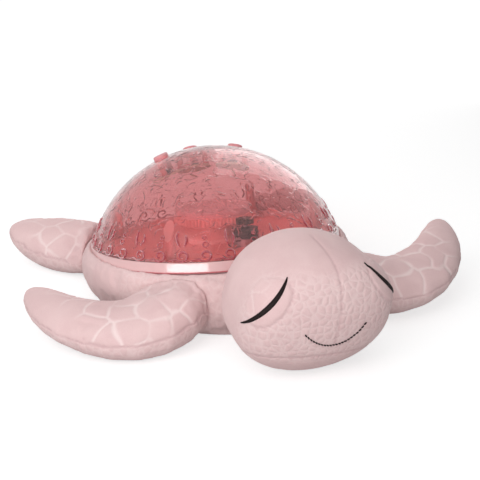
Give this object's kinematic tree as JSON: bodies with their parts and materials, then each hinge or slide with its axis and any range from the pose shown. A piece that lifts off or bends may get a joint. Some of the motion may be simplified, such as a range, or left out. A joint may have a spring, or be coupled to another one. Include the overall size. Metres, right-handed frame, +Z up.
{
  "type": "plush turtle night light projector",
  "caption": "Stuffed sleeping turtle with a leaning translucent rose shell; under it a motor turns a ripple lens over lamps to throw moving light, worked by push buttons on the shell.",
  "frame": {"origin": "on the flat belly, under the middle of the shell's foot", "axes": "+Z up, -Y towards the turtle's nose, +X towards the turtle's left side; metres"},
  "size_m": [0.3473, 0.333, 0.1099],
  "materials": {
    "rose_clear": "clear rose moulding with a rippled skin",
    "rose_button": "moulded satin gloss",
    "board_green": "solder mask",
    "dark_plastic": "moulded",
    "screw_steel": "zinc plated",
    "blush_plastic": "fine moulded grain",
    "coral_plastic": "satin moulding",
    "lamp_board_white": "white solder mask",
    "lamp_clear": "clear epoxy",
    "white_plastic": "moulded",
    "lens_clear": "clear moulded",
    "motor_grey": "drawn can, dark",
    "pinion_brass": "cut",
    "bracket_steel": "pressed sheet",
    "cell_wrap": "printed film left plain",
    "cone_paper": "paper",
    "pink_velour": "embossed short-pile velour",
    "flap_cloth": "lined velour",
    "hem_elastic": "elastic in a tunnel hem",
    "closure_tape": "hook and loop",
    "dark_thread": "satin stitch"
  },
  "bodies": {
    "turtle": {"shell_dome": "rose_clear", "button_boards": "board_green", "tact_switches": "dark_plastic", "button_board_screws": "screw_steel", "base_tub": "blush_plastic", "shell_screws": "screw_steel", "light_deck": "coral_plastic", "lamp_board": "lamp_board_white", "lamps": "lamp_clear", "reflector_cup": "white_plastic", "drive_motor": "motor_grey", "motor_bracket": "bracket_steel", "bracket_screws": "screw_steel", "battery_door": "blush_plastic", "door_screw": "screw_steel", "battery_cells": "cell_wrap", "battery_contacts": "bracket_steel", "main_board": "board_green", "board_components": "dark_plastic", "board_screws": "screw_steel", "speaker_basket": "motor_grey", "speaker_cone": "cone_paper", "plush_body": "pink_velour", "plush_head": "pink_velour", "right_front_flipper": "pink_velour", "left_front_flipper": "pink_velour", "right_rear_flipper": "pink_velour", "left_rear_flipper": "pink_velour", "tail": "pink_velour", "elastic_hem": "hem_elastic", "loop_tape": "closure_tape", "right_eye_stitch": "dark_thread", "left_eye_stitch": "dark_thread", "mouth_stitch": "dark_thread"},
    "light_button": {"light_button": "rose_button"},
    "sound_button": {"sound_button": "rose_button"},
    "volume_button": {"volume_button": "rose_button"},
    "lens": {"lens_ring_gear": "white_plastic", "ripple_lens": "lens_clear"},
    "pinion": {"motor_pinion": "pinion_brass", "motor_shaft": "screw_steel"},
    "belly_flap": {"belly_flap": "flap_cloth", "hook_tape": "closure_tape"}
  },
  "joints": [
    {"name": "light_press", "type": "slide", "parent": "turtle", "child": "light_button", "axis": [0.3106, -0.3596, -0.8799], "range_m": [0, 0.0012], "stiffness_N_per_m": 700},
    {"name": "sound_press", "type": "slide", "parent": "turtle", "child": "sound_button", "axis": [0, -0.5225, -0.8526], "range_m": [0, 0.0012], "stiffness_N_per_m": 700},
    {"name": "volume_press", "type": "slide", "parent": "turtle", "child": "volume_button", "axis": [-0.3106, -0.3596, -0.8799], "range_m": [0, 0.0012], "stiffness_N_per_m": 700},
    {"name": "lens_spin", "type": "hinge", "parent": "turtle", "child": "lens", "pos_m": [0, 0.00267, 0.05398], "axis": [0, 0.165, 0.9863], "continuous": true},
    {"name": "pinion_spin", "type": "hinge", "parent": "turtle", "child": "pinion", "pos_m": [0.01233, -0.03074, 0.05957], "axis": [0, 0.165, 0.9863], "continuous": true},
    {"name": "flap_fold", "type": "hinge", "parent": "turtle", "child": "belly_flap", "pos_m": [0, -0.0073, 0.0012], "axis": [1, 0, 0], "range_deg": [0, 100]}
  ],
  "couplings": [
    {"joint": "pinion_spin", "follows": "lens_spin", "ratio": -5}
  ]
}
